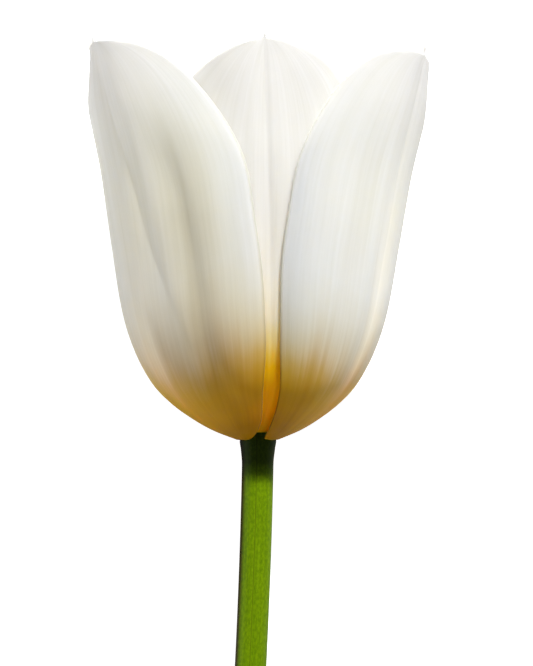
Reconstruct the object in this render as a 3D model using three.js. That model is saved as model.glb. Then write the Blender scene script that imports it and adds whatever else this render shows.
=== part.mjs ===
// A cut white tulip lying on its side, in millimetres, +Z up.
// The flower is modelled standing in a frame of its own: the cup's base is at the origin, the mouth is
// towards +Z, and the front is towards -Y. It is then tipped over, so its front faces up and its mouth points
// along +Y. Six tepals stand in two whorls of three round six stamens and a pistil, with small gaps between.
import * as THREE from "three";

// Pose: the cup lies on the flank of its back tepal, and the cut end of the stem touches the same surface.
const AXIS_RISE = 10; // degrees that the flower's axis rises from the surface towards the mouth
const STEM_LENGTH = 97; // from the cup's base to the middle of the cut
const STEM_DRIFT = -4.8; // how far the cut end lies to the side of the flower's axis

// Tepals: thin spoon-shaped sheets.
const TEPAL_THICK = 0.9; // at the foot and along the midrib
const TEPAL_THIN = 0.5; // at the rim
const FOOT_HALF_WIDTH = 2.6;
const POINT_LENGTH = 0.9; // the small point at a tepal's top
const POINT_HALF_WIDTH = 0.5;
const SHEET_COLUMNS = 12;
const BELLY_ROWS = 9;
const DOME_ROWS = 7;
const DOME_START = 0.66; // share of a tepal's length where its top starts to round off

// Midrib lines, as [radius, height] from the foot to the top of the tepal.
const OUTER_MIDRIB = [
  [3.7, -0.1], [7.8, 1.6], [11.3, 3.7], [14.7, 6.3], [17.9, 9.8], [20.9, 15.4],
  [23.2, 22.5], [25.3, 34], [28, 47], [31.5, 59], [34, 69.2],
];
const INNER_MIDRIB = [
  [3.6, 1.3], [7.1, 3], [10.3, 5], [13.5, 7.5], [16.5, 11], [19.3, 16.4],
  [21.6, 23.5], [23.1, 35], [24.2, 47], [24.7, 58], [25.2, 69.2],
];

// Stem: a solid green stalk that widens into the receptacle, the disc that carries the other parts.
const STEM_RADIUS = 2.85;
const RECEPTACLE_RADIUS = 3.3;
const RECEPTACLE = [[-0.9, 0], [-0.2, 0.1], [0.7, 0.5], [1.2, 0.7], [1.4, 1.6]]; // [height, inset]
const CUT_SLANT = 30; // degrees between the cut face and a square cut
const STEM_SIDES = 16;
const STALK_RINGS = 12;

// Stamens: a tapered filament that carries one anther on its tip.
const FILAMENT_FOOT = { radius: 2.5, height: 1.8 };
const FILAMENT_TIP = { radius: 6.2, height: 14.6 };
const FILAMENT_WIDEST = 0.66;
const FILAMENT_TIP_RADIUS = 0.3;
const ANTHER_LENGTH = 11.5;
const ANTHER_HALF_WIDTH = 1.5;
const ANTHER_HALF_DEPTH = 1.15;
const ANTHER_LEAN = 9; // degrees outwards from the flower's axis
const STAMEN_RINGS = 8;
const FILAMENT_SIDES = 8;
const ANTHER_SIDES = 12;
const GAP = 0.3; // between neighbours that touch

// Pistil: a three-sided ovary under a stigma with three lobes.
const PISTIL_FOOT = 1.75;
const OVARY_RADIUS = 2.9;
const OVARY_TOP = 19.5;
const STIGMA_RADIUS = 4.1;
const STIGMA_TOP = 22.8;
const PISTIL_SIDES = 18;

const rad = THREE.MathUtils.degToRad;
const mix = THREE.MathUtils.lerp;
const smooth = THREE.MathUtils.smoothstep;

const petalWhite = new THREE.MeshStandardMaterial({ color: "#f3f1ea", roughness: 0.5 });
const stemGreen = new THREE.MeshStandardMaterial({ color: "#6f9018", roughness: 0.45 });
const filamentCream = new THREE.MeshStandardMaterial({ color: "#f0e4a8", roughness: 0.5 });
const pollenYellow = new THREE.MeshStandardMaterial({ color: "#e2b23a", roughness: 0.9 });
const ovaryGreen = new THREE.MeshStandardMaterial({ color: "#b4c078", roughness: 0.45 });

// The tepals. Bearing is where one stands round the axis: 0 faces front, + goes to the right. Girth scales
// the line of its midrib, at the foot and at the top. Roundness compares its cross-section with the cup's own
// circle, at the belly and at the top. Fullness is how soon it widens above the foot. Shoulders are how blunt
// the dome is to the left and to the right of the midrib, a curl below 1 bends that side further in, and a
// lopsided dome is higher on one side. The groove is the channel down the back of the midrib, as
// [depth, width], and may drift sideways lower down. A tuck draws the left or the right rim closer to the
// tepal behind it, in mm, and the rim has a slight ripple.
const TEPALS = [
  {
    name: "outer_tepal_left", line: OUTER_MIDRIB, bearing: -58, halfWidth: 25.3, girth: [1.045, 1],
    roundness: [1.08, 0.58], fullness: 2.9, shoulders: [1.25, 2.7], curl: [0.2, 1], lopsided: 0.03, reach: 1,
    groove: [0.4, 2.6], drift: 0.3, ripple: 0.25, tuck: [0, 1.4], phase: 0.4,
  },
  {
    name: "outer_tepal_right", line: OUTER_MIDRIB, bearing: 62, halfWidth: 21.5, girth: [0.972, 1],
    roundness: [1.05, 0.56], fullness: 2.1, shoulders: [3.2, 1.5], curl: [1, 0.35], lopsided: -0.13,
    reach: 0.972, groove: [0.5, 2.4], drift: 0, ripple: 0.25, tuck: [1.1, 0], phase: 2.1,
  },
  {
    name: "outer_tepal_back", line: OUTER_MIDRIB, bearing: 180, halfWidth: 23, girth: [1, 1],
    roundness: [1.12, 1.6], fullness: 2.6, shoulders: [2.4, 2.4], curl: [1, 1], lopsided: 0, reach: 0.96,
    groove: [1.2, 4.5], drift: 0, ripple: 0, tuck: [0, 0], phase: 0,
  },
  {
    name: "inner_tepal_front", line: INNER_MIDRIB, bearing: 3, halfWidth: 22.5, girth: [1, 1],
    roundness: [1, 0.78], fullness: 2.6, shoulders: [1.6, 1.85], curl: [1, 1], lopsided: 0, reach: 1,
    groove: [0.35, 1.5], drift: 0, ripple: 0.2, tuck: [0, 0], phase: 1.3,
  },
  {
    name: "inner_tepal_back_right", line: INNER_MIDRIB, bearing: 123, halfWidth: 20, girth: [0.98, 1],
    roundness: [1, 0.8], fullness: 2.6, shoulders: [2.2, 2], curl: [1, 0.7], lopsided: 0.04, reach: 0.955,
    groove: [0.6, 2.2], drift: 0, ripple: 0.2, tuck: [0, 0], phase: 3.1,
  },
  {
    name: "inner_tepal_back_left", line: INNER_MIDRIB, bearing: -117, halfWidth: 20, girth: [1, 1],
    roundness: [1, 0.8], fullness: 2.6, shoulders: [2, 2.3], curl: [0.8, 1], lopsided: -0.03, reach: 0.945,
    groove: [0.6, 2.2], drift: 0, ripple: 0.2, tuck: [0, 0], phase: 5.2,
  },
];

// A point at a height, a radius and a bearing round the flower's axis; bearing 0 faces front.
function roundAxis(radius, bearing, height) {
  return new THREE.Vector3(radius * Math.sin(bearing), -radius * Math.cos(bearing), height);
}

// Half the tepal's width at a share of its length: a narrow foot, a broad belly, a blunt dome and a point.
function halfWidthAt(tepal, across, along) {
  const belly = 1 - (1 - Math.min(along / 0.6, 1)) ** tepal.fullness;
  const foot = FOOT_HALF_WIDTH / tepal.halfWidth;
  const dome = Math.max(0, (along - DOME_START) / (1 - DOME_START));
  const rounding = Math.max(0, 1 - dome ** 2) ** (1 / tepal.shoulders[across < 0 ? 0 : 1]);
  return Math.max(tepal.halfWidth * mix(foot, 1, belly) * rounding, POINT_HALF_WIDTH);
}

// A point on the tepal's middle surface. Across runs from -1 to 1, and along from 0 (foot) to 1 (top).
function tepalPoint(tepal, across, along) {
  const point = Math.max(0, along - 1);
  const line = tepal.curve.getPointAt(Math.min(along * tepal.reach, 1));
  const radius = line.x * mix(tepal.girth[0], tepal.girth[1], along);
  const aside = across * halfWidthAt(tepal, across, along) * (point > 0 ? 0.4 : 1);
  const roundness = mix(tepal.roundness[0], tepal.roundness[1], smooth(along, 0.45, 1));
  const curl = mix(1, tepal.curl[across < 0 ? 0 : 1], smooth(along, 0.85, 1));
  const bend = radius * mix(1, roundness, smooth(along, 0, 0.25)) * curl;
  const turn = aside / bend;
  const middle = tepal.drift * tepal.halfWidth * Math.sin(Math.PI * Math.min(along, 1) ** 0.45);
  const [depth, width] = tepal.groove;
  const groove = depth * smooth(along, 0.05, 0.3) * Math.exp(-(((aside - middle) / width) ** 2));
  const wave = Math.sin(9 * along + tepal.phase + across);
  const ripple = tepal.ripple * across ** 4 * wave * smooth(along, 0.2, 0.6);
  const hug = smooth(along, 0.1, 0.35) * (1 - smooth(along, 0.7, 0.92));
  const tuck = tepal.tuck[across < 0 ? 0 : 1] * across ** 6 * hug;
  const out = radius - bend * (1 - Math.cos(turn)) - groove + ripple - tuck;
  const bearing = rad(tepal.bearing);
  const height = line.y + point * tepal.length + tepal.lopsided * aside * smooth(along, 0.5, 1);
  return roundAxis(out, bearing, height).add(roundAxis(bend * Math.sin(turn), bearing + Math.PI / 2, 0));
}

// The unit normal of a surface point(across, along), from neighbouring points.
function normalOf(pointAt, across, along) {
  const step = 0.01;
  const a = Math.min(Math.max(across, step - 1), 1 - step);
  const b = Math.min(Math.max(along, step), 1 - step);
  const sideways = pointAt(a + step, b).sub(pointAt(a - step, b));
  const upwards = pointAt(a, b + step).sub(pointAt(a, b - step));
  return sideways.cross(upwards).normalize();
}

// A closed sheet: the outer and inner faces of a surface, joined by a rim.
function sheetGeometry(pointAt, thicknessAt, stations) {
  const positions = [];
  const width = SHEET_COLUMNS + 1;
  for (const side of [0.5, -0.5]) {
    for (const along of stations) {
      for (let column = 0; column < width; column++) {
        const across = (2 * column) / SHEET_COLUMNS - 1;
        const offset = normalOf(pointAt, across, along).multiplyScalar(side * thicknessAt(across, along));
        positions.push(...pointAt(across, along).add(offset));
      }
    }
  }
  const rows = stations.length;
  const outer = (row, column) => row * width + column;
  const inner = (row, column) => (rows + row) * width + column;
  const index = [];
  const quad = (a, b, c, d) => index.push(a, b, c, a, c, d);
  for (let row = 0; row + 1 < rows; row++) {
    for (let column = 0; column + 1 < width; column++) {
      quad(outer(row, column), outer(row, column + 1), outer(row + 1, column + 1), outer(row + 1, column));
      quad(inner(row, column), inner(row + 1, column), inner(row + 1, column + 1), inner(row, column + 1));
    }
    quad(outer(row, width - 1), inner(row, width - 1), inner(row + 1, width - 1), outer(row + 1, width - 1));
    quad(inner(row, 0), outer(row, 0), outer(row + 1, 0), inner(row + 1, 0));
  }
  const top = rows - 1;
  for (let column = 0; column + 1 < width; column++) {
    quad(inner(0, column), inner(0, column + 1), outer(0, column + 1), outer(0, column));
    quad(outer(top, column), outer(top, column + 1), inner(top, column + 1), inner(top, column));
  }
  return geometryOf(positions, index);
}

function geometryOf(positions, index) {
  const geometry = new THREE.BufferGeometry();
  geometry.setAttribute("position", new THREE.Float32BufferAttribute(positions, 3));
  geometry.setIndex(index);
  geometry.computeVertexNormals();
  return geometry;
}

// A closed body through rings of points, with capped ends. Each ring is counter-clockwise seen from the last.
function ringsGeometry(rings) {
  const sides = rings[0].length;
  const positions = rings.flat().flatMap((p) => [p.x, p.y, p.z]);
  const index = [];
  for (let ring = 0; ring + 1 < rings.length; ring++) {
    for (let side = 0; side < sides; side++) {
      const a = ring * sides + side;
      const b = ring * sides + ((side + 1) % sides);
      index.push(a, b, b + sides, a, b + sides, a + sides);
    }
  }
  const middle = (ring) => ring.reduce((sum, p) => sum.add(p), new THREE.Vector3()).divideScalar(sides);
  const first = positions.length / 3;
  positions.push(...middle(rings[0]), ...middle(rings.at(-1)));
  const last = (rings.length - 1) * sides;
  for (let side = 0; side < sides; side++) {
    const next = (side + 1) % sides;
    index.push(first, next, side, first + 1, last + side, last + next);
  }
  return geometryOf(positions, index);
}

function named(name, geometry, material) {
  const mesh = new THREE.Mesh(geometry, material);
  mesh.name = name;
  return mesh;
}

// Stations along a tepal: rows up to the dome, rows that follow the dome's curve, and the point.
function tepalStations(tepal) {
  const belly = Array.from({ length: BELLY_ROWS }, (_, row) => DOME_START * (row / BELLY_ROWS) ** 1.25);
  const dome = Array.from({ length: DOME_ROWS + 1 }, (_, row) => {
    return DOME_START + (1 - DOME_START) * Math.sin((Math.PI / 2) * (row / DOME_ROWS));
  });
  return [...belly, ...dome, 1 + POINT_LENGTH / tepal.length];
}

function makeTepal(tepal) {
  tepal.curve = new THREE.SplineCurve(tepal.line.map((point) => new THREE.Vector2(...point)));
  tepal.length = tepal.curve.getLength() * tepal.reach;
  const pointAt = (across, along) => tepalPoint(tepal, across, along);
  const thicknessAt = (across, along) => {
    const edge = Math.max(across ** 4, smooth(along, 0.6, 1));
    return mix(TEPAL_THICK, TEPAL_THIN, edge);
  };
  return named(tepal.name, sheetGeometry(pointAt, thicknessAt, tepalStations(tepal)), petalWhite);
}

// Round rings of points square to a path, with a radius at each share of its length.
function ringsAlong(path, count, sides, radiusAt) {
  const frames = path.computeFrenetFrames(count);
  return Array.from({ length: count + 1 }, (_, step) => {
    const middle = path.getPointAt(step / count);
    const radius = radiusAt(step / count);
    return Array.from({ length: sides }, (_, side) => {
      const turn = (2 * Math.PI * side) / sides;
      const point = middle.clone().addScaledVector(frames.normals[step], radius * Math.cos(turn));
      return point.addScaledVector(frames.binormals[step], radius * Math.sin(turn));
    });
  });
}

function makeFilament(number, bearing) {
  const foot = roundAxis(FILAMENT_FOOT.radius, bearing, FILAMENT_FOOT.height);
  const knee = roundAxis(FILAMENT_TIP.radius * 0.86, bearing, FILAMENT_TIP.height * 0.62);
  const tip = roundAxis(FILAMENT_TIP.radius, bearing, FILAMENT_TIP.height);
  const path = new THREE.QuadraticBezierCurve3(foot, knee, tip);
  const radiusAt = (share) => {
    const swell = mix(0.5, FILAMENT_WIDEST, smooth(share, 0, 0.25));
    return mix(swell, FILAMENT_TIP_RADIUS, smooth(share, 0.3, 1));
  };
  const rings = ringsAlong(path, STAMEN_RINGS, FILAMENT_SIDES, radiusAt);
  return named(`filament_${number}`, ringsGeometry(rings), filamentCream);
}

// A flattened body with a furrow down its outer and its inner face, in line with the filament's tip.
function makeAnther(number, bearing) {
  const lean = rad(ANTHER_LEAN);
  const start = roundAxis(FILAMENT_TIP.radius, bearing, FILAMENT_TIP.height + GAP);
  const upwards = roundAxis(Math.sin(lean), bearing, Math.cos(lean));
  const outwards = roundAxis(Math.cos(lean), bearing, -Math.sin(lean));
  const sideways = roundAxis(1, bearing + Math.PI / 2, 0);
  const rings = Array.from({ length: STAMEN_RINGS + 1 }, (_, step) => {
    const share = step / STAMEN_RINGS;
    const swell = mix(0.4, 1, Math.sqrt(Math.sin(Math.PI * share)));
    return Array.from({ length: ANTHER_SIDES }, (_, side) => {
      const turn = (2 * Math.PI * side) / ANTHER_SIDES;
      const furrow = 1 - 0.22 * Math.cos(turn) ** 8;
      const point = start.clone().addScaledVector(upwards, ANTHER_LENGTH * share);
      point.addScaledVector(sideways, ANTHER_HALF_WIDTH * swell * Math.sin(turn));
      return point.addScaledVector(outwards, ANTHER_HALF_DEPTH * swell * furrow * Math.cos(turn));
    });
  });
  return named(`anther_${number}`, ringsGeometry(rings), pollenYellow);
}

// The pistil's outline as [height, radius, how strongly it is three-sided].
function makePistil() {
  const neck = OVARY_RADIUS * 0.72;
  const outline = [
    [PISTIL_FOOT, 1, 0],
    [PISTIL_FOOT + 2, OVARY_RADIUS * 0.66, 0.05],
    [OVARY_TOP * 0.35, OVARY_RADIUS, 0.1],
    [OVARY_TOP * 0.65, OVARY_RADIUS * 0.96, 0.12],
    [OVARY_TOP * 0.88, neck * 1.1, 0.12],
    [OVARY_TOP, neck, 0.14],
    [mix(OVARY_TOP, STIGMA_TOP, 0.35), STIGMA_RADIUS * 0.8, 0.28],
    [mix(OVARY_TOP, STIGMA_TOP, 0.7), STIGMA_RADIUS * 0.82, 0.32],
    [STIGMA_TOP, STIGMA_RADIUS * 0.55, 0.4],
  ];
  const rings = outline.map(([height, radius, sided]) =>
    Array.from({ length: PISTIL_SIDES }, (_, side) => {
      const turn = (2 * Math.PI * side) / PISTIL_SIDES;
      return roundAxis(radius * (1 + sided * Math.cos(3 * turn)), turn, height);
    }),
  );
  return named("pistil", ringsGeometry(rings), ovaryGreen);
}

// The stem, from the slanted cut up to the dome of the receptacle, as level rings round the flower's axis.
// drop is the height of the cup's base above the surface; the lower edge of the cut rests on that surface.
function makeStem(drop) {
  const rise = rad(AXIS_RISE);
  const slope = Math.tan(rad(CUT_SLANT));
  const lowest = (drop - (STEM_LENGTH + slope * STEM_RADIUS) * Math.sin(rise)) / Math.cos(rise);
  const sag = lowest - STEM_RADIUS;
  const ring = (height, radius) => {
    const share = Math.min(Math.max(0, -height / STEM_LENGTH), 1);
    const middle = new THREE.Vector3(STEM_DRIFT * share ** 1.5, sag * share ** 1.6, 0);
    return Array.from({ length: STEM_SIDES }, (_, side) =>
      roundAxis(radius, (2 * Math.PI * side) / STEM_SIDES, height).add(middle),
    );
  };
  const rings = Array.from({ length: STALK_RINGS + 1 }, (_, step) => {
    const height = mix(-STEM_LENGTH, -2, step / STALK_RINGS);
    return ring(height, mix(STEM_RADIUS, RECEPTACLE_RADIUS - 0.1, smooth(height, -5, -0.5)));
  });
  rings[0].forEach((point) => (point.z -= slope * (point.y - sag)));
  for (const [height, inset] of RECEPTACLE) rings.push(ring(height, RECEPTACLE_RADIUS - inset));
  return named("stem", ringsGeometry(rings), stemGreen);
}

const flower = new THREE.Group();
TEPALS.forEach((tepal) => flower.add(makeTepal(tepal)));
TEPALS.forEach((tepal, place) => {
  flower.add(makeFilament(place + 1, rad(tepal.bearing)));
  flower.add(makeAnther(place + 1, rad(tepal.bearing)));
});
flower.add(makePistil());

// Tip the flower over: its axis rises by AXIS_RISE from +Y, and its front faces up.
flower.rotation.x = rad(AXIS_RISE - 90);
flower.updateMatrixWorld(true);
const cup = new THREE.Box3().setFromObject(flower, true);
flower.add(makeStem(-cup.min.z));
flower.updateMatrixWorld(true);

// The origin is on the surface, under the middle of the whole cut flower.
const box = new THREE.Box3().setFromObject(flower, true);
flower.position.set(-(box.min.x + box.max.x) / 2, -(box.min.y + box.max.y) / 2, -box.min.z);

const tulip = new THREE.Group();
tulip.add(flower);

export default tulip;
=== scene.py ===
# %% [markdown]
# # A cut white tulip, lying on its side
#
# A tulip flower has six petals. Botanists call them tepals, because the outer three and the inner three look
# alike. They stand in two rings round six stamens and one pistil, all on the widened top of a green stem.
# The frame that is loaded first says where each of these pieces is and how big it is. This lesson then makes
# each piece again as a fine surface, in the same place, and gives it the finish of living plant tissue.

# %% Load the frame
import math

import bpy
import numpy as np
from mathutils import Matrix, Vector


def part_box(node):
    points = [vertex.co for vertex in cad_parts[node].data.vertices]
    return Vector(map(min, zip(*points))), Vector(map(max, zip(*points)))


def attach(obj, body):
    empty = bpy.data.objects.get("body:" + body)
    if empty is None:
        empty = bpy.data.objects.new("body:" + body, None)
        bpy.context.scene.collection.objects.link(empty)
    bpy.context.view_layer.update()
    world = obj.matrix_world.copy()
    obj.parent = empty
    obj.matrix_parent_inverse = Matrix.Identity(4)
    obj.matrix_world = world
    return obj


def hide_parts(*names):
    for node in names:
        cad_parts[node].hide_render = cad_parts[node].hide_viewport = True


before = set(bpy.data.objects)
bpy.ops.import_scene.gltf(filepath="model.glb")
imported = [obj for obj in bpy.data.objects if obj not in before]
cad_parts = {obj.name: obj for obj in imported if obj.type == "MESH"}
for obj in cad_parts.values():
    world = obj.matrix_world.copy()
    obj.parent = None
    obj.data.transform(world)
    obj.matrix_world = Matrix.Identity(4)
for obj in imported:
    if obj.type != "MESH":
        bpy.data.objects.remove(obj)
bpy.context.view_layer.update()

print("nodes in the frame:", len(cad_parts))

# %% [markdown]
# ## The flower's own axes
#
# A flower is easiest to describe standing up: the cup's base at zero, the mouth upwards, and each petal at a
# bearing round the axis. The real one lies down, so its axis rises only a little from the floor. Three unit
# vectors turn one description into the other. The base itself is found from the frame: the dome on top of the
# stem has a known profile, and the stem's box in the frame says where that dome ends.

# %% Axes and base
MM = 0.001
AXIS_RISE = math.radians(10)
RIGHT = np.array([1.0, 0.0, 0.0])
FRONT = np.array([0.0, -math.sin(AXIS_RISE), math.cos(AXIS_RISE)])
UP = np.array([0.0, math.cos(AXIS_RISE), math.sin(AXIS_RISE)])

STEM_RADIUS = 2.85  # mm, like every size below until it is placed
RECEPTACLE_RADIUS = 3.3
DOME = np.array([[-0.9, 3.3], [-0.2, 3.2], [0.7, 2.8], [1.2, 2.6], [1.4, 1.7]])  # [height, radius]

stem_low, stem_high = (np.array(corner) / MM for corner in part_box("stem"))
dome_reach = [
    RECEPTACLE_RADIUS,
    (DOME @ [UP[1], -FRONT[1]]).max(),
    (DOME @ [UP[2], FRONT[2]]).max(),
]
BASE = stem_high - dome_reach


def place(points):
    """Turns points (right, back, up) in mm, in the flower's own axes, into the frame's metres."""
    right, back, up = np.moveaxis(np.asarray(points, float), -1, 0)
    spots = right[..., None] * RIGHT - back[..., None] * FRONT + up[..., None] * UP
    return (BASE + spots) * MM


print("the cup's base is at", BASE.round(2), "mm")

# %% [markdown]
# ## From rows of points to a mesh
#
# Every piece of the flower can be skinned in the same way: rings of points along its length, each joined to
# the next by quads, and a cap at both ends. A stem's ring is a circle. A petal's ring is a long flat loop: up
# one face, round the rim, and back along the other face. One function therefore serves them all. It also
# stores a UV map, in which v runs along the piece, so that veins and streaks can follow its length later.

# %% Skin the rings


def skin(name, rings, uv, flat=False):
    """A closed mesh through rings of points, with a uv pair for each point of each ring."""
    count, around = rings.shape[:2]
    grid = np.arange(count * around).reshape(count, around)
    after = np.roll(grid, -1, axis=1)
    quads = np.stack([grid[:-1], after[:-1], after[1:], grid[1:]], axis=-1).reshape(-1, 4).tolist()
    if flat:
        bottom = []
        top = []
        for step in range(around // 2):
            # Round from the rim in the middle of the ring's ends, each point faces one on the other face.
            corners = [step, step + 1, around - 1 - step, (around - step) % around]
            corners = list(dict.fromkeys(corners))
            top.append(grid[-1, corners].tolist())
            bottom.append(grid[0, corners[::-1]].tolist())
        faces = quads + bottom + top
    else:
        faces = quads + [grid[0, ::-1].tolist(), grid[-1].tolist()]
    mesh = bpy.data.meshes.new(name)
    mesh.from_pydata(place(rings).reshape(-1, 3).tolist(), [], faces)
    layer = mesh.uv_layers.new(name="UVMap")
    corners = np.empty(len(mesh.loops), int)
    mesh.loops.foreach_get("vertex_index", corners)
    layer.data.foreach_set("uv", uv.reshape(-1, 2)[corners].ravel())
    mesh.polygons.foreach_set("use_smooth", [True] * len(mesh.polygons))
    piece = bpy.data.objects.new(name, mesh)
    bpy.context.collection.objects.link(piece)
    return piece


def belongs(piece, node):
    """The piece stands for a node of the frame and moves with its body; the frame's node is hidden."""
    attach(piece, "root")
    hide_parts(node)
    made = np.array(piece.bound_box)
    low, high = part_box(node)
    apart = max(np.abs(made.min(0) - low).max(), np.abs(made.max(0) - high).max())
    print(f"{piece.name}: {len(piece.data.polygons)} faces, box within {apart / MM:.2f} mm of the frame's")


# %% [markdown]
# ## The line of a midrib
#
# Seen from the side, a petal leaves the stem almost level, turns up round the belly of the cup and leans out
# towards the mouth. Eleven points are enough for that line. A Catmull-Rom curve passes through them smoothly,
# and measuring it lets the rest of the script ask for a point by its share of the petal's real length.

# %% Midribs as smooth lines
OUTER_MIDRIB = [
    [3.7, -0.1], [7.8, 1.6], [11.3, 3.7], [14.7, 6.3], [17.9, 9.8], [20.9, 15.4],
    [23.2, 22.5], [25.3, 34], [28, 47], [31.5, 59], [34, 69.2],
]  # [radius, height] from the foot to the top
INNER_MIDRIB = [
    [3.6, 1.3], [7.1, 3], [10.3, 5], [13.5, 7.5], [16.5, 11], [19.3, 16.4],
    [21.6, 23.5], [23.1, 35], [24.2, 47], [24.7, 58], [25.2, 69.2],
]


def smooth_line(points, steps=30):
    """Dense points on a smooth curve through a few, and the length run at each one."""
    points = np.array(points, float)
    padded = np.vstack([points[:1], points, points[-1:]])
    share = np.linspace(0, 1, steps, endpoint=False)[:, None]
    dense = []
    for before, start, end, after in zip(padded, padded[1:], padded[2:], padded[3:]):
        leave = (end - before) / 2
        arrive = (after - start) / 2
        square = 3 * (end - start) - 2 * leave - arrive
        cube = 2 * (start - end) + leave + arrive
        dense.append(start + leave * share + square * share**2 + cube * share**3)
    dense = np.vstack([*dense, points[-1:]])
    run = np.concatenate([[0], np.cumsum(np.linalg.norm(np.diff(dense, axis=0), axis=1))])
    return dense, run


def at_share(line, share):
    """The curve's point at each share of its length, as separate radius and height."""
    dense, run = line
    where = np.clip(share, 0, 1) * run[-1]
    return np.interp(where, run, dense[:, 0]), np.interp(where, run, dense[:, 1])


outer_line = smooth_line(OUTER_MIDRIB)
inner_line = smooth_line(INNER_MIDRIB)
print(f"midribs: outer {outer_line[1][-1]:.1f} mm, inner {inner_line[1][-1]:.1f} mm long")

# %% [markdown]
# ## What makes one petal differ from the next
#
# All six petals share one recipe, and a short list of traits for each makes it an individual. Bearing says
# where it stands, with 0 in front. Girth scales its midrib at the foot and the top. Roundness compares the
# curve across it with the cup's own circle. Fullness is how soon it widens, shoulders how blunt its top is on
# each side, curl how far each side bends in, and tuck how far each rim hugs the next petal. Folds are the
# long shallow ridges and channels that a petal keeps from having been wrapped round its neighbours in the
# bud. Each is a height in mm, a width in mm and a path of (share of the length, mm from the midrib).

# %% Traits of the six petals
TEPALS = [
    {
        "name": "outer_tepal_left", "line": outer_line, "bearing": -58, "half_width": 25.3,
        "girth": (1.045, 1), "roundness": (1.08, 0.58), "fullness": 2.9, "shoulders": (1.25, 2.7),
        "curl": (0.2, 1), "lopsided": 0.03, "reach": 1, "groove": (0.4, 2.6), "drift": 0.3,
        "ripple": 0.25, "tuck": (0, 1.4), "phase": 0.4,
        "folds": [
            (-1.2, 2.8, [(0.16, 11), (0.3, 12.3), (0.42, 13.3), (0.55, 13), (0.75, 11.5)]),
            (-0.12, 0.8, [(0.3, 9.5), (0.42, 8.0), (0.55, 4.6), (0.7, 2.6), (0.95, 0)]),
        ],
    },
    {
        "name": "outer_tepal_right", "line": outer_line, "bearing": 62, "half_width": 21.5,
        "girth": (0.972, 1), "roundness": (1.05, 0.56), "fullness": 2.1, "shoulders": (3.2, 1.5),
        "curl": (1, 0.35), "lopsided": -0.13, "reach": 0.972, "groove": (0.5, 2.4), "drift": 0,
        "ripple": 0.25, "tuck": (1.1, 0), "phase": 2.1,
        "folds": [
            (-0.12, 0.5, [(0.3, 0.9), (0.6, 1.2), (0.97, 0)]),
            (-0.35, 3.0, [(0.25, -9.0), (0.5, -8.5), (0.8, -7.0)]),
        ],
    },
    {
        "name": "outer_tepal_back", "line": outer_line, "bearing": 180, "half_width": 23,
        "girth": (1, 1), "roundness": (1.12, 1.6), "fullness": 2.6, "shoulders": (2.4, 2.4),
        "curl": (1, 1), "lopsided": 0, "reach": 0.96, "groove": (1.2, 4.5), "drift": 0,
        "ripple": 0, "tuck": (0, 0), "phase": 0,
        "folds": [(-0.12, 0.5, [(0.3, 0), (0.97, 0)])],
    },
    {
        "name": "inner_tepal_front", "line": inner_line, "bearing": 3, "half_width": 22.5,
        "girth": (1, 1), "roundness": (1, 0.78), "fullness": 2.6, "shoulders": (1.6, 1.85),
        "curl": (1, 1), "lopsided": 0, "reach": 1, "groove": (0.35, 1.5), "drift": 0,
        "ripple": 0.2, "tuck": (0, 0), "phase": 1.3,
        "folds": [
            (-0.18, 0.45, [(0.25, 1.4), (0.6, 1.0), (0.98, -0.2)]),
            (0.35, 6.0, [(0.55, 1.0), (0.95, 0)]),
        ],
    },
    {
        "name": "inner_tepal_back_right", "line": inner_line, "bearing": 123, "half_width": 20,
        "girth": (0.98, 1), "roundness": (1, 0.8), "fullness": 2.6, "shoulders": (2.2, 2),
        "curl": (1, 0.7), "lopsided": 0.04, "reach": 0.955, "groove": (0.6, 2.2), "drift": 0,
        "ripple": 0.2, "tuck": (0, 0), "phase": 3.1,
        "folds": [(-0.12, 0.5, [(0.3, 0), (0.97, 0)])],
    },
    {
        "name": "inner_tepal_back_left", "line": inner_line, "bearing": -117, "half_width": 20,
        "girth": (1, 1), "roundness": (1, 0.8), "fullness": 2.6, "shoulders": (2, 2.3),
        "curl": (0.8, 1), "lopsided": -0.03, "reach": 0.945, "groove": (0.6, 2.2), "drift": 0,
        "ripple": 0.2, "tuck": (0, 0), "phase": 5.2,
        "folds": [(-0.12, 0.5, [(0.3, 0), (0.97, 0)])],
    },
]

# %% [markdown]
# ## The surface of a petal
#
# A petal could be sculpted by hand, but then six of them would be six jobs. Here it is a formula instead.
# Across runs from -1 at one rim to 1 at the other, and along from 0 at the foot to 1 at the top. The midrib
# gives the radius and the height, the width is bent round a circle, and the groove, the folds and a slight
# ripple of the rim are added to the radius. Anything that is wrong can be put right by one number.

# %% The petal formula
FOOT_HALF_WIDTH = 2.6
POINT_LENGTH = 0.9  # the small point on top of a petal
POINT_HALF_WIDTH = 0.5
DOME_START = 0.66  # share of the length where the top starts to round off


def mix(start, end, share):
    return start + (end - start) * share


def smooth(value, start, end):
    """0 below start, 1 above end, and an even S between."""
    share = np.clip((value - start) / (end - start), 0, 1)
    return share * share * (3 - 2 * share)


def hump(value, width):
    return np.exp(-((value / width) ** 2))


def round_axis(radius, bearing, height):
    """Points at a radius, a bearing and a height round the flower's axis."""
    spots = np.broadcast_arrays(radius * np.sin(bearing), -radius * np.cos(bearing), height)
    return np.stack(spots, axis=-1)


def half_width(tepal, across, along):
    belly = 1 - (1 - np.minimum(along / 0.6, 1)) ** tepal["fullness"]
    dome = np.clip((along - DOME_START) / (1 - DOME_START), 0, 1)
    blunt = np.where(across < 0, *tepal["shoulders"])
    rounding = (1 - dome**2) ** (1 / blunt)
    width = tepal["half_width"] * mix(FOOT_HALF_WIDTH / tepal["half_width"], 1, belly) * rounding
    return np.maximum(width, POINT_HALF_WIDTH)


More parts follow.
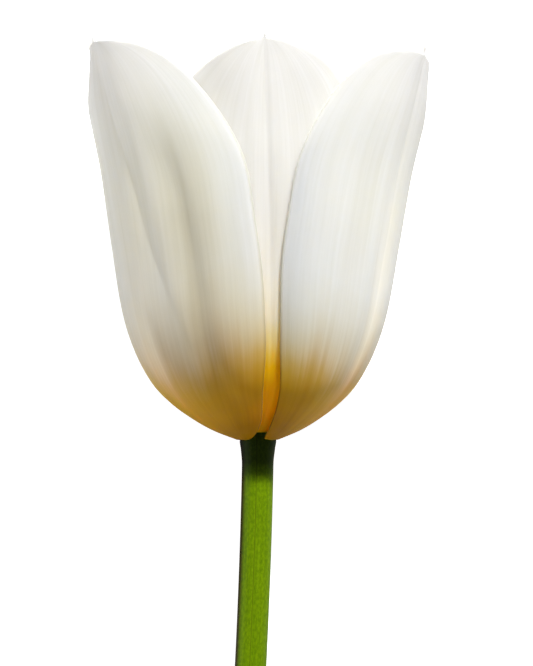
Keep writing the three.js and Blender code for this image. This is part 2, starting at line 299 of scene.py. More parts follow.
def relief(tepal, aside, along):
    """How far the groove and the folds push the surface out, in mm."""
    sideways = np.sin(np.pi * np.minimum(along, 1) ** 0.45)
    depth, spread = tepal["groove"]
    middle = tepal["drift"] * tepal["half_width"] * sideways
    out = -depth * smooth(along, 0.05, 0.3) * hump(aside - middle, spread)
    for height, spread, path in tepal["folds"]:
        stations, asides = zip(*path)
        first, last = stations[0], stations[-1]
        fade = smooth(along, first - 0.1, first + 0.1) * (1 - smooth(along, last - 0.1, last + 0.1))
        out = out + height * fade * hump(aside - np.interp(along, stations, asides), spread)
    return out


def tepal_surface(tepal, across, along):
    """Points on the middle of the petal, in mm."""
    point = np.maximum(along - 1, 0)
    radius, height = at_share(tepal["line"], along * tepal["reach"])
    radius = radius * mix(*tepal["girth"], along)
    width = half_width(tepal, across, along)
    aside = across * width * np.where(point > 0, 0.4, 1)
    roundness = mix(*tepal["roundness"], smooth(along, 0.45, 1))
    curl = mix(1, np.where(across < 0, *tepal["curl"]), smooth(along, 0.85, 1))
    bend = radius * mix(1, roundness, smooth(along, 0, 0.25)) * curl
    turn = aside / bend
    wave = np.sin(9 * along + tepal["phase"] + across)
    ripple = tepal["ripple"] * across**4 * wave * smooth(along, 0.2, 0.6)
    hug = smooth(along, 0.1, 0.35) * (1 - smooth(along, 0.7, 0.92))
    tuck = np.where(across < 0, *tepal["tuck"]) * across**6 * hug
    out = radius - bend * (1 - np.cos(turn)) + relief(tepal, aside, along) + ripple - tuck
    bearing = math.radians(tepal["bearing"])
    rise = height + point * tepal["length"] + tepal["lopsided"] * aside * smooth(along, 0.5, 1)
    return round_axis(out, bearing, rise) + round_axis(bend * np.sin(turn), bearing + np.pi / 2, 0)


# %% [markdown]
# ## A sheet with two faces and a round rim
#
# A real tulip petal is a sheet about half a millimetre thick, thicker at the foot and thin at the rim. A
# Solidify modifier would give it one thickness and a square rim. Instead each ring runs over the outer face,
# round the rim in a small half circle and back over the inner face, so the light finds a soft edge there.

# %% Rings of a petal
THICK = 0.75  # mm, along the middle
THIN = 0.26  # mm, at the rim and the top
COLUMNS = 88
RIM_STEPS = 4
BELLY_ROWS = 56
DOME_ROWS = 44
TIP_ROWS = 4


def unit(vectors):
    return vectors / np.maximum(np.linalg.norm(vectors, axis=-1, keepdims=True), 1e-9)


def normals(tepal, across, along, step=0.01):
    a = np.clip(across, step - 1, 1 - step)
    b = np.clip(along, step, 1 - step)
    sideways = tepal_surface(tepal, a + step, b) - tepal_surface(tepal, a - step, b)
    upwards = tepal_surface(tepal, a, b + step) - tepal_surface(tepal, a, b - step)
    return unit(np.cross(sideways, upwards))


def petal_rings(tepal):
    """Rings of points round the petal's cross-section, and their uv."""
    belly = DOME_START * np.linspace(0, 1, BELLY_ROWS, endpoint=False) ** 1.15
    dome = DOME_START + (1 - DOME_START) * np.sin(np.linspace(0, np.pi / 2, DOME_ROWS))
    tip = 1 + np.linspace(1 / TIP_ROWS, 1, TIP_ROWS) * POINT_LENGTH / tepal["length"]
    rows = np.concatenate([belly, dome, tip])
    even = np.linspace(-1, 1, COLUMNS + 1)
    columns = 0.7 * even + 0.3 * even**3  # closest together at the midrib, where the creases are fine
    across, along = np.meshgrid(columns, rows)
    middle = tepal_surface(tepal, across, along)
    out = normals(tepal, across, along)
    edge = np.maximum(across**4, smooth(along, 0.6, 1))
    half = (mix(THICK, THIN, edge) / 2)[..., None]
    turns = np.linspace(0, np.pi, RIM_STEPS + 1)[1:-1]
    sides = [unit(middle[:, -1] - middle[:, -2]), unit(middle[:, 0] - middle[:, 1])]
    right = [
        middle[:, -1] + half[:, -1] * (out[:, -1] * math.cos(turn) + sides[0] * math.sin(turn))
        for turn in turns
    ]
    left = [
        middle[:, 0] + half[:, 0] * (-out[:, 0] * math.cos(turn) + sides[1] * math.sin(turn))
        for turn in turns
    ]
    inner = (middle - half * out)[:, ::-1]
    rings = np.concatenate([middle + half * out, np.stack(right, 1), inner, np.stack(left, 1)], axis=1)
    share = (columns + 1) / 2
    rim = np.ones(RIM_STEPS - 1)
    u = np.concatenate([share, rim, share[::-1], 0 * rim])
    uv = np.stack(np.broadcast_arrays(u[None, :], rows[:, None]), axis=-1)
    return rings, uv


# %% [markdown]
# ## Skin all six
#
# Every petal is built by the same few lines, so each one is a separate sheet with its own name, as on the
# real flower, where a petal can be pulled off by itself. The rings are joined into one closed skin, front,
# back and rim together.

# %% Make the six petals
petals = []
for tepal in TEPALS:
    tepal["length"] = tepal["line"][1][-1] * tepal["reach"]
    rings, uv = petal_rings(tepal)
    # The ring starts half way round a rim, so that the cap can pair its points across the sheet.
    start = RIM_STEPS // 2
    name = "petal_" + tepal["name"].replace("_tepal", "")
    petal = skin(name, np.roll(rings, start, axis=1), np.roll(uv, start, axis=1), flat=True)
    belongs(petal, tepal["name"])
    petals.append(petal)

# %% [markdown]
# ## The stem and the dome it ends in
#
# A tulip's stem is a smooth round stalk, full of watery tissue, that widens a little under the flower. This
# one was cut at a slant. It is skinned through circles like a hose, drawn close together so that its gentle
# bend stays smooth. The cut face is made of rings too, shrinking towards the middle and sunk a little,
# because the soft core of a cut stem dries back from its skin.

# %% The stem
STEM_LENGTH = 97
STEM_DRIFT = -4.8  # how far the cut end lies to the left of the flower's axis
CUT_SLANT = math.radians(30)
CUT_SINK = 0.35
CUT_RINGS = np.array([0.12, 0.3, 0.5, 0.7, 0.86, 0.95])  # shares of the cut's radius
STEM_SIDES = 72
STALK_ROWS = 160


def circle(sides):
    return np.linspace(0, 2 * np.pi, sides, endpoint=False)


def dense_rows(rows, count):
    """The same profile drawn through many more rows, as one smooth line."""
    line = smooth_line(rows)
    share = np.linspace(0, 1, count)[:, None] * line[1][-1]
    return np.hstack([np.interp(share, line[1], line[0][:, axis]) for axis in range(line[0].shape[1])])


def stem_rings():
    slope = math.tan(CUT_SLANT)
    lowest = (BASE[2] - (STEM_LENGTH + slope * STEM_RADIUS) * UP[2]) / FRONT[2]
    sag = lowest - STEM_RADIUS
    turn = circle(STEM_SIDES)
    stalk = np.linspace(-STEM_LENGTH, -2, STALK_ROWS)
    widths = mix(STEM_RADIUS, RECEPTACLE_RADIUS - 0.1, smooth(stalk, -5, -0.5))
    dome = dense_rows(DOME, 24)
    tops = dense_rows(np.array([DOME[-1], [1.55, 0.9], [1.6, 0.3]]), 8)[1:]
    heights = np.concatenate([stalk, dome[:, 0], tops[:, 0]])
    radii = np.concatenate([widths, dome[:, 1], tops[:, 1]])
    shares = np.clip(-heights / STEM_LENGTH, 0, 1)
    centres = np.stack([STEM_DRIFT * shares**1.5, sag * shares**1.6], axis=-1)
    rings = round_axis(radii[:, None], turn[None, :], heights[:, None])
    rings[..., :2] += centres[:, None, :]
    shift = slope * (rings[..., 1] - sag)
    fade = smooth(-heights, STEM_LENGTH - 4, STEM_LENGTH)[:, None]
    rings[..., 2] -= shift * fade
    middle = rings[0].mean(axis=0)
    face = middle + (rings[0] - middle) * CUT_RINGS[:, None, None]
    face[..., 2] += (CUT_SINK * (1 - CUT_RINGS**4))[:, None]
    v = np.concatenate([CUT_RINGS - 1, 1 + heights / STEM_LENGTH])
    uv = np.stack(np.broadcast_arrays((turn / (2 * np.pi))[None, :], v[:, None]), axis=-1)
    return np.concatenate([face, rings]), uv


stem = skin("green_stem", *stem_rings())
belongs(stem, "stem")

# %% [markdown]
# ## Stamens: a thread that carries a pollen sac
#
# Each of the six stamens is a tapered, slightly flattened thread, the filament, with an anther balanced on
# its tip. The anther is four long sacs side by side, which split to let the pollen out. Its cross-section is
# therefore a shape with four bulges, swollen in the middle and narrow at both ends.

# %% The stamens
FILAMENT_FOOT = (2.5, 1.8)  # [radius from the axis, height]
FILAMENT_TIP = (6.2, 14.6)
FILAMENT_WIDEST = 0.66
FILAMENT_TIP_RADIUS = 0.3
ANTHER_LENGTH = 11.5
ANTHER_HALF_WIDTH = 1.5
ANTHER_HALF_DEPTH = 1.15
ANTHER_LEAN = math.radians(9)
GAP = 0.3


def filament_rings(bearing, rows=40, sides=24):
    share = np.linspace(0, 1, rows)[:, None]
    knee = (FILAMENT_TIP[0] * 0.86, FILAMENT_TIP[1] * 0.62)
    path = np.array([FILAMENT_FOOT, knee, FILAMENT_TIP])
    centre = (1 - share) ** 2 * path[0] + 2 * share * (1 - share) * path[1] + share**2 * path[2]
    along = unit(np.gradient(centre, axis=0))
    swell = mix(0.5, FILAMENT_WIDEST, smooth(share, 0, 0.25))
    radius = mix(swell, FILAMENT_TIP_RADIUS, smooth(share, 0.3, 1))
    turn = circle(sides)[None, :]
    outwards = np.cos(turn) * radius
    sideways = np.sin(turn) * radius
    radii = centre[:, :1] + outwards * along[:, 1:]
    heights = centre[:, 1:] - outwards * along[:, :1]
    rings = round_axis(radii, bearing, heights) + round_axis(sideways, bearing + np.pi / 2, 0)
    uv = np.stack(np.broadcast_arrays(turn / (2 * np.pi), share), axis=-1)
    return rings, uv


def anther_rings(bearing, rows=64, sides=64):
    share = (1 - np.cos(np.linspace(0, np.pi, rows)))[:, None] / 2
    turn = circle(sides)[None, :]
    swell = mix(0.3, 1, np.sqrt(np.sin(np.pi * np.clip(share, 0.012, 0.988))))
    sacs = 1 - 0.24 * np.abs(np.cos(turn)) ** 9 - 0.16 * np.abs(np.sin(turn)) ** 14
    twist = 0.05 * np.sin(np.pi * share)
    wide = ANTHER_HALF_WIDTH * swell * sacs * np.sin(turn + twist)
    deep = ANTHER_HALF_DEPTH * swell * sacs * np.cos(turn + twist)
    length = ANTHER_LENGTH * share + 0 * turn
    radius = FILAMENT_TIP[0] + length * math.sin(ANTHER_LEAN) + deep * math.cos(ANTHER_LEAN)
    height = FILAMENT_TIP[1] + GAP + length * math.cos(ANTHER_LEAN) - deep * math.sin(ANTHER_LEAN)
    rings = round_axis(radius, bearing, height) + round_axis(wide, bearing + np.pi / 2, 0)
    uv = np.stack(np.broadcast_arrays(turn / (2 * np.pi), share), axis=-1)
    return rings, uv


filaments = []
anthers = []
for number, tepal in enumerate(TEPALS, start=1):
    bearing = math.radians(tepal["bearing"])
    filament = skin(f"stamen_thread_{number}", *filament_rings(bearing))
    belongs(filament, f"filament_{number}")
    filaments.append(filament)
    anther = skin(f"pollen_sac_{number}", *anther_rings(bearing))
    belongs(anther, f"anther_{number}")
    anthers.append(anther)

# %% [markdown]
# ## The pistil
#
# In the middle stands a plump three-sided ovary. The stigma on its top has three folded lobes with a frilled
# crest, which is sticky and catches pollen. One profile gives the height, the radius and how strongly each
# ring is drawn out towards three corners. A finer wave on the topmost rings makes the frill.

# %% The pistil
PISTIL = np.array([
    [1.75, 1.0, 0.0], [2.3, 1.4, 0.02], [3.75, 1.95, 0.05], [6.8, 2.85, 0.1], [12.7, 2.78, 0.12],
    [17.2, 2.3, 0.12], [19.2, 2.05, 0.14], [19.9, 2.6, 0.22], [20.7, 3.25, 0.28], [21.8, 3.36, 0.32],
    [22.5, 2.9, 0.38], [22.75, 2.2, 0.42], [22.3, 1.5, 0.5], [21.4, 0.7, 0.5], [21.1, 0.15, 0.2],
])  # [height, radius, pull towards three corners]


def pistil_rings(rows=150, sides=120):
    height, radius, sided = (column[:, None] for column in dense_rows(PISTIL, rows).T)
    turn = circle(sides)[None, :]
    crest = smooth(height, 19.8, 21.5) * smooth(radius, 0.4, 2.0)
    frill = 0.035 * np.cos(21 * turn + 1.5 * np.cos(3 * turn)) + 0.05 * np.cos(6 * turn)
    seam = -0.05 * hump(np.cos(1.5 * turn), 0.16) * smooth(height, 3, 6) * (1 - smooth(height, 18, 20))
    out = radius * (1 + sided * np.cos(3 * turn) + crest * frill + seam)
    rings = round_axis(out, turn, height)
    along = np.linspace(0, 1, rows)[:, None]
    uv = np.stack(np.broadcast_arrays(turn / (2 * np.pi), along), axis=-1)
    return rings, uv


pistil = skin("ovary_and_stigma", *pistil_rings())
belongs(pistil, "pistil")

# %% [markdown]
# ## Colours and nodes
#
# Colours are written as sRGB hex, the way a screen shows them. The renderer adds light in linear
# numbers, and one function converts them. A second function adds a node to a material: its settings, its
# inputs by name or number, and a link wherever an input is another node's output.

# %% Helpers for materials


def linear(hex_colour):
    channels = [int(hex_colour[i : i + 2], 16) / 255 for i in (1, 3, 5)]
    return [c / 12.92 if c <= 0.04045 else ((c + 0.055) / 1.055) ** 2.4 for c in channels] + [1.0]


def add(tree, kind, inputs=None, stops=(), **settings):
    """Adds a node with its settings, its inputs and, for a colour ramp, its stops as (place, colour)."""
    node = tree.nodes.new(kind)
    for setting, value in settings.items():
        setattr(node, setting, value)
    for socket, value in (inputs or {}).items():
        if isinstance(value, bpy.types.NodeSocket):
            tree.links.new(value, node.inputs[socket])
        else:
            node.inputs[socket].default_value = value
    if stops:
        ramp = node.color_ramp.elements
        ramp.remove(ramp[1])
        for spot, colour in stops[1:]:
            ramp.new(spot).color = linear(colour)
        ramp[0].position = stops[0][0]
        ramp[0].color = linear(stops[0][1])
    return node


def new_material(name):
    """An empty material, with its tree and the one shader that everything here is made of."""
    material = bpy.data.materials.new(name)
    material.use_nodes = True
    tree = material.node_tree
    tree.nodes.clear()
    shader = add(tree, "ShaderNodeBsdfPrincipled")
    add(tree, "ShaderNodeOutputMaterial", {"Surface": shader.outputs["BSDF"]})
    return material, tree, shader


def finish_shader(tree, shader, colour, bump, **numbers):
    """Feeds a shader its colour and its bump, and sets its plain numbers."""
    tree.links.new(colour, shader.inputs["Base Color"])
    tree.links.new(bump, shader.inputs["Normal"])
    for name, value in numbers.items():
        shader.inputs[name.replace("_", " ")].default_value = value


# %% [markdown]
# ## Living petal
#
# A white petal has no white pigment. Its outer cells are clear, and the air between the loose cells inside
# scatters all light back, like snow. Towards the foot, yellow pigment lies in the cells, and green shows from
# below. The eye sees a satin surface with fine veins running from foot to tip, faintly see-through where the
# sheet is thin. Subsurface scattering gives the snow, a ramp along the petal gives the pigment with painted
# shade mixed in, darkening the outer foot to brown amber and greying the tops, and noise stretched along it
# gives veins about 0.7 mm apart.

# %% Petal material
VEINS_ACROSS = 60  # a petal about 45 mm wide with a vein every 0.75 mm
VEIN_RUNS = 2.2  # stretches each vein to about half the petal's length
BANDS_ACROSS = 9  # broad soft ribs, about 5 mm each
FRAYED_BY_VEINS = 0.035  # how far each noise shifts the yellow's edge, as a share of the petal's length
FRAYED_BY_BANDS = 0.07
CELL = 0.00012  # the domed surface cells, drawn about three times their real 40 micrometres


def petal_material(name, rim_rise, stops, fold_shade):
    """Stops are the pigment along the midrib, with painted shade mixed in. At the rims each one sits
    further up, by rim_rise.

    fold_shade is painted shade, as stops from the left rim to the right rim, that multiplies the pigment.
    """
    material, tree, shader = new_material(name)
    uv = add(tree, "ShaderNodeTexCoord").outputs["UV"]
    split = add(tree, "ShaderNodeSeparateXYZ", {0: uv})
    across, along = split.outputs["X"], split.outputs["Y"]

    stretched = add(tree, "ShaderNodeMapping", {0: uv, "Scale": (VEINS_ACROSS, VEIN_RUNS, 1)})
    veins = add(
        tree, "ShaderNodeTexNoise",
        {0: stretched.outputs[0], "Scale": 1, "Detail": 3, "Roughness": 0.6},
    )
    broad = add(
        tree, "ShaderNodeMapping",
        {0: uv, "Scale": (BANDS_ACROSS, 1.3, 1), "Location": (3, 7, 0)},
    )
    bands = add(
        tree, "ShaderNodeTexNoise",
        {0: broad.outputs[0], "Scale": 1, "Detail": 2, "Roughness": 0.5},
    )

    # The yellow's upper edge is a curve from the midrib to the rims, frayed along the veins and the bands.
    centred = add(tree, "ShaderNodeMath", {0: across, 1: 0.5}, operation="SUBTRACT")
    aside = add(tree, "ShaderNodeMath", {0: centred.outputs[0]}, operation="ABSOLUTE")
    edge = add(
        tree, "ShaderNodeMath",
        {0: aside.outputs[0], 1: -2 * rim_rise, 2: along},
        operation="MULTIPLY_ADD",
    )
    for noise, reach in ((veins, FRAYED_BY_VEINS), (bands, FRAYED_BY_BANDS)):
        shift = add(
            tree, "ShaderNodeMath",
            {0: noise.outputs["Fac"], 1: 0.5},
            operation="SUBTRACT",
        )
        edge = add(
            tree, "ShaderNodeMath",
            {0: shift.outputs[0], 1: reach, 2: edge.outputs[0]},
            operation="MULTIPLY_ADD",
        )
    pigment = add(tree, "ShaderNodeValToRGB", {0: edge.outputs[0]}, stops=stops)
    streaks = add(
        tree, "ShaderNodeValToRGB", {0: veins.outputs["Fac"]},
        stops=[(0.3, "#f0f0ec"), (0.7, "#ffffff")],
    )
    streaked = add(
        tree, "ShaderNodeMixRGB",
        {0: 0.5, "Color1": pigment.outputs[0], "Color2": streaks.outputs[0]},
        blend_type="MULTIPLY",
    )
    shade = add(
        tree, "ShaderNodeValToRGB", {0: bands.outputs["Fac"]},
        stops=[(0.3, "#efeee8"), (0.65, "#ffffff")],
    )
    colour = add(
        tree, "ShaderNodeMixRGB",
        {0: 0.5, "Color1": streaked.outputs[0], "Color2": shade.outputs[0]},
        blend_type="MULTIPLY",
    )

    # Painted shade: a faint grey band across one outer petal, where a fold's channel lies in shade. It fades
    # at foot and top.
    fold_shade_tint = add(tree, "ShaderNodeValToRGB", {0: across}, stops=fold_shade)
    strength = add(
        tree, "ShaderNodeValToRGB", {0: along},
        stops=[(0.12, "#000000"), (0.32, "#ffffff"), (0.6, "#ffffff"), (0.95, "#404040")],
    )
    colour = add(
        tree, "ShaderNodeMixRGB",
        {0: strength.outputs[0], "Color1": colour.outputs[0], "Color2": fold_shade_tint.outputs[0]},
        blend_type="MULTIPLY",
    )

    # Painted shade: a thin darker line along the rim, where the thin rim seen edge on looks a little darker.
    rim = add(
        tree, "ShaderNodeValToRGB", {0: aside.outputs[0]},
        stops=[(0.494, "#ffffff"), (0.4995, "#cfcfca")],
    )
    colour = add(
        tree, "ShaderNodeMixRGB",
        {0: 1.0, "Color1": colour.outputs[0], "Color2": rim.outputs[0]},
        blend_type="MULTIPLY",
    )

    place_in_space = add(tree, "ShaderNodeTexCoord").outputs["Object"]
    cells = add(tree, "ShaderNodeTexVoronoi", {0: place_in_space, "Scale": 1 / CELL})
    soft = add(
        tree, "ShaderNodeBump",
        {"Height": bands.outputs["Fac"], "Strength": 0.25, "Distance": 0.0004},
    )
    ribbed = add(
        tree, "ShaderNodeBump",
        {"Height": veins.outputs["Fac"], "Strength": 0.3, "Distance": 0.0001, "Normal": soft.outputs[0]},
    )
    grainy = add(
        tree, "ShaderNodeBump",
        {
            "Height": cells.outputs["Distance"], "Strength": 0.08, "Distance": CELL / 2,
            "Normal": ribbed.outputs[0],
        },
    )
    finish_shader(
        tree, shader, colour.outputs[0], grainy.outputs[0],
        Roughness=0.5, IOR=1.4, Specular_IOR_Level=0.15, Subsurface_Weight=1.0,
        Subsurface_Radius=(1.0, 0.95, 0.85), Subsurface_Scale=0.0014,
    )
    return material


# Yellow pigment at the foot, darkened on the outer ring to brown amber as painted shade under the cup; both
# rings turn grey towards the top as painted shade.
OUTER_PIGMENT_AND_SHADE = [
    (0.0, "#b67e00"), (0.07, "#d0960a"), (0.135, "#dca622"), (0.17, "#dfb046"), (0.2, "#e4bc6e"),
    (0.228, "#eacc98"), (0.256, "#f1dbb8"), (0.295, "#f6e8d0"), (0.35, "#fbf3e3"), (0.43, "#fdf9ef"),
    (0.6, "#f9f7ee"), (0.75, "#eeeeea"), (0.95, "#dbdbdc"),
]
INNER_PIGMENT_AND_SHADE = [
    (0.0, "#dca604"), (0.12, "#f4c406"), (0.25, "#fdd414"), (0.28, "#fddc60"), (0.315, "#fae6a8"),
    (0.37, "#f6eedb"), (0.48, "#f0eee9"), (0.62, "#eae9e7"), (0.8, "#e4e4e3"), (0.95, "#d8d8d8"),
]
# Painted shade for the left outer petal: a grey band where a fold's channel lies in shade.
FOLD_SHADE_STOPS = [
    (0.05, "#fbfbfb"), (0.5, "#f5f5f4"), (0.64, "#f1f0ed"), (0.75, "#e1ded2"), (0.86, "#e9e7df"),
    (0.93, "#fafaf7"), (0.97, "#ffffff"),
]
PLAIN = [(0.0, "#ffffff"), (0.6, "#ffffff"), (1.0, "#edecea")]
OUTER_RISE = 0.1  # outside, the yellow climbs a little at the rims; inside, it is a flame along the midrib
INNER_RISE = -0.1
LIVING = "living tissue with waxy cells"
fold_shaded_finish = petal_material(
    f"Tulip petal, outer ring, shade_painted, {LIVING}", OUTER_RISE, OUTER_PIGMENT_AND_SHADE, FOLD_SHADE_STOPS
)
outer_finish = petal_material(f"Tulip petal, outer ring, {LIVING}", OUTER_RISE, OUTER_PIGMENT_AND_SHADE, PLAIN)
inner_finish = petal_material(f"Tulip petal, inner ring, {LIVING}", INNER_RISE, INNER_PIGMENT_AND_SHADE, PLAIN)
for petal in petals:
    finish = outer_finish if "outer" in petal.name else inner_finish
    if "outer" in petal.name and "left" in petal.name:
        finish = fold_shaded_finish
    petal.data.materials.append(finish)
print("finishes on", len(petals), "petals")

# %% [markdown]
# ## Waxy green stem, and the tissue inside it
#
# A stem's skin is one layer of long cells under a film of wax, so it has a soft gloss, and fine streaks run
# along it where the strands below show through. Where it is cut, the eye sees wet, paler tissue inside a
# green ring, with the ends of those strands as scattered darker dots.

# %% Stem materials
STREAKS_ROUND = 36  # a strand every 0.5 mm round a stem 5.7 mm thick
SKIN_CELLS = (45, 120, 1)  # skin cells 0.4 mm wide and 0.8 mm long, coarser than life so that they show
STRAND_GAP = 0.0007  # between the ends of the strands in the cut


def stem_material():
    material, tree, shader = new_material("Tulip stem, green skin under natural wax")
    uv = add(tree, "ShaderNodeTexCoord").outputs["UV"]
    stretched = add(tree, "ShaderNodeMapping", {0: uv, "Scale": (STREAKS_ROUND, 3, 1)})
    streaks = add(
        tree, "ShaderNodeTexNoise",
        {0: stretched.outputs[0], "Scale": 1, "Detail": 4, "Roughness": 0.62},
    )
    slow = add(tree, "ShaderNodeMapping", {0: uv, "Scale": (3, 4, 1)})
    patches = add(tree, "ShaderNodeTexNoise", {0: slow.outputs[0], "Scale": 1, "Detail": 2})
    skin_colour = add(
        tree, "ShaderNodeValToRGB", {0: streaks.outputs["Fac"]},
        stops=[(0.3, "#6f9000"), (0.5, "#7a9a02"), (0.7, "#86a50a")],
    )
    patch_colour = add(
        tree, "ShaderNodeValToRGB", {0: patches.outputs["Fac"]},
        stops=[(0.3, "#e4ead0"), (0.7, "#ffffff")],
    )
    colour = add(
        tree, "ShaderNodeMixRGB",
        {0: 0.8, "Color1": skin_colour.outputs[0], "Color2": patch_colour.outputs[0]},
        blend_type="MULTIPLY",
    )
    fine = add(tree, "ShaderNodeMapping", {0: uv, "Scale": SKIN_CELLS})
    cells = add(
        tree, "ShaderNodeTexNoise",
        {0: fine.outputs[0], "Scale": 1, "Detail": 2, "Roughness": 0.7},
    )
    mottle = add(
        tree, "ShaderNodeValToRGB", {0: cells.outputs["Fac"]},
        stops=[(0.38, "#cfd8b8"), (0.62, "#ffffff")],
    )
    colour = add(
        tree, "ShaderNodeMixRGB",
        {0: 0.9, "Color1": colour.outputs[0], "Color2": mottle.outputs[0]},
        blend_type="MULTIPLY",
    )
    # Painted shade: a brown band darkens one flank, and painted shadow darkens the last few millimetres under
    # the flower, where the cup's shadow falls.
    split = add(tree, "ShaderNodeSeparateXYZ", {0: uv})
    around, along = split.outputs["X"], split.outputs["Y"]
    painted_flank_shade = add(
        tree, "ShaderNodeValToRGB", {0: around},
        stops=[(0.62, "#ffffff"), (0.74, "#8a5c58"), (0.82, "#966a60"), (0.88, "#ffffff")],
    )
    colour = add(
        tree, "ShaderNodeMixRGB",
        {0: 1.0, "Color1": colour.outputs[0], "Color2": painted_flank_shade.outputs[0]},
        blend_type="MULTIPLY",
    )
    painted_cup_shadow = add(
        tree, "ShaderNodeValToRGB", {0: along},
        stops=[(0.915, "#ffffff"), (0.935, "#a0a688"), (0.955, "#60644e")],
    )
    shadowed_skin_colour = add(
        tree, "ShaderNodeMixRGB",
        {0: 1.0, "Color1": colour.outputs[0], "Color2": painted_cup_shadow.outputs[0]},
        blend_type="MULTIPLY",
    )
    ribs = add(
        tree, "ShaderNodeBump",
        {"Height": streaks.outputs["Fac"], "Strength": 0.3, "Distance": 0.00012},
    )
    finish_shader(
        tree, shader, shadowed_skin_colour.outputs[0], ribs.outputs[0],
        Roughness=0.5, IOR=1.42, Specular_IOR_Level=0.08, Subsurface_Weight=0.2,
        Subsurface_Radius=(0.6, 1.0, 0.1), Subsurface_Scale=0.001,
    )
    return material


def cut_material():
    material, tree, shader = new_material("Tulip stem, freshly cut wet tissue")
    coords = add(tree, "ShaderNodeTexCoord")
    depth = add(tree, "ShaderNodeSeparateXYZ", {0: coords.outputs["UV"]}).outputs["Y"]
    ring = add(
        tree, "ShaderNodeValToRGB",
        {0: add(tree, "ShaderNodeMath", {0: depth, 1: 1.0}, operation="ADD").outputs[0]},
        stops=[(0.0, "#dfe3b4"), (0.55, "#ccd697"), (0.85, "#a9bf5c"), (1.0, "#7c9a2a")],
    )
    strands = add(tree, "ShaderNodeTexVoronoi", {0: coords.outputs["Object"], "Scale": 1 / STRAND_GAP})
    dots = add(
        tree, "ShaderNodeValToRGB", {0: strands.outputs["Distance"]},
        stops=[(0.12, "#8fa24c"), (0.3, "#ffffff")],
    )
    colour = add(
        tree, "ShaderNodeMixRGB",
        {0: 0.7, "Color1": ring.outputs[0], "Color2": dots.outputs[0]},
        blend_type="MULTIPLY",
    )
    rough = add(
        tree, "ShaderNodeBump",
        {"Height": strands.outputs["Distance"], "Strength": 0.3, "Distance": 0.0001},
    )
    finish_shader(
        tree, shader, colour.outputs[0], rough.outputs[0],
        Roughness=0.25, IOR=1.35, Subsurface_Weight=0.4, Subsurface_Radius=(0.8, 1.0, 0.4),
        Subsurface_Scale=0.001,
    )
    return material


stem.data.materials.append(stem_material())
stem.data.materials.append(cut_material())
cut_faces = len(CUT_RINGS) * STEM_SIDES
slots = np.zeros(len(stem.data.polygons), int)
slots[:cut_faces] = 1
slots[-2] = 1  # the small disc in the middle of the cut
stem.data.polygons.foreach_set("material_index", slots)
print("stem faces:", len(slots), "of which cut:", int(slots.sum()))

# %% [markdown]
# ## Stamens and pistil: cream thread, powdery pollen, moist green
#
# The filament is smooth and creamy, deeper yellow at its foot. An anther that has opened is covered with
# loose pollen: the eye sees no gloss at all, only fine grains. The ovary is moist and a little shiny, pale
# green, and its sticky stigma is cream with a coat of tiny hairs.

# %% Materials of the inner parts
POLLEN = 0.00016  # a pollen grain is about 0.05 mm; drawn as clumps of three
STIGMA_HAIRS = 0.0002


def thread_material():
    material, tree, shader = new_material("Tulip filament, smooth cream tissue")
    uv = add(tree, "ShaderNodeTexCoord").outputs["UV"]
    along = add(tree, "ShaderNodeSeparateXYZ", {0: uv}).outputs["Y"]
    colour = add(
        tree, "ShaderNodeValToRGB", {0: along},
        stops=[(0.0, "#cfa93a"), (0.35, "#ecdc9c"), (1.0, "#f4eccb")],
    )
    stretched = add(tree, "ShaderNodeMapping", {0: uv, "Scale": (14, 3, 1)})
    lines = add(tree, "ShaderNodeTexNoise", {0: stretched.outputs[0], "Scale": 1})
    ribs = add(
        tree, "ShaderNodeBump",
        {"Height": lines.outputs["Fac"], "Strength": 0.4, "Distance": 0.0001},
    )
    finish_shader(
        tree, shader, colour.outputs[0], ribs.outputs[0],
        Roughness=0.4, IOR=1.4, Subsurface_Weight=0.5, Subsurface_Radius=(1.0, 0.8, 0.4),
        Subsurface_Scale=0.0008,
    )
    return material


def pollen_material():
    material, tree, shader = new_material("Tulip anther, dry yellow pollen")
    place_in_space = add(tree, "ShaderNodeTexCoord").outputs["Object"]
    grains = add(tree, "ShaderNodeTexVoronoi", {0: place_in_space, "Scale": 1 / POLLEN})
    clumps = add(tree, "ShaderNodeTexNoise", {0: place_in_space, "Scale": 900, "Detail": 4})
    colour = add(
        tree, "ShaderNodeValToRGB", {0: clumps.outputs["Fac"]},
        stops=[(0.3, "#c58d12"), (0.5, "#e2ae2a"), (0.72, "#f3cc4e")],
    )
    lumps = add(
        tree, "ShaderNodeBump",
        {"Height": clumps.outputs["Fac"], "Strength": 0.6, "Distance": 0.0003},
    )
    grainy = add(
        tree, "ShaderNodeBump",
        {
            "Height": grains.outputs["Distance"], "Strength": 0.8, "Distance": POLLEN,
            "Normal": lumps.outputs[0],
        },
    )
    finish_shader(tree, shader, colour.outputs[0], grainy.outputs[0], Roughness=0.92, Sheen_Weight=0.3)
    return material


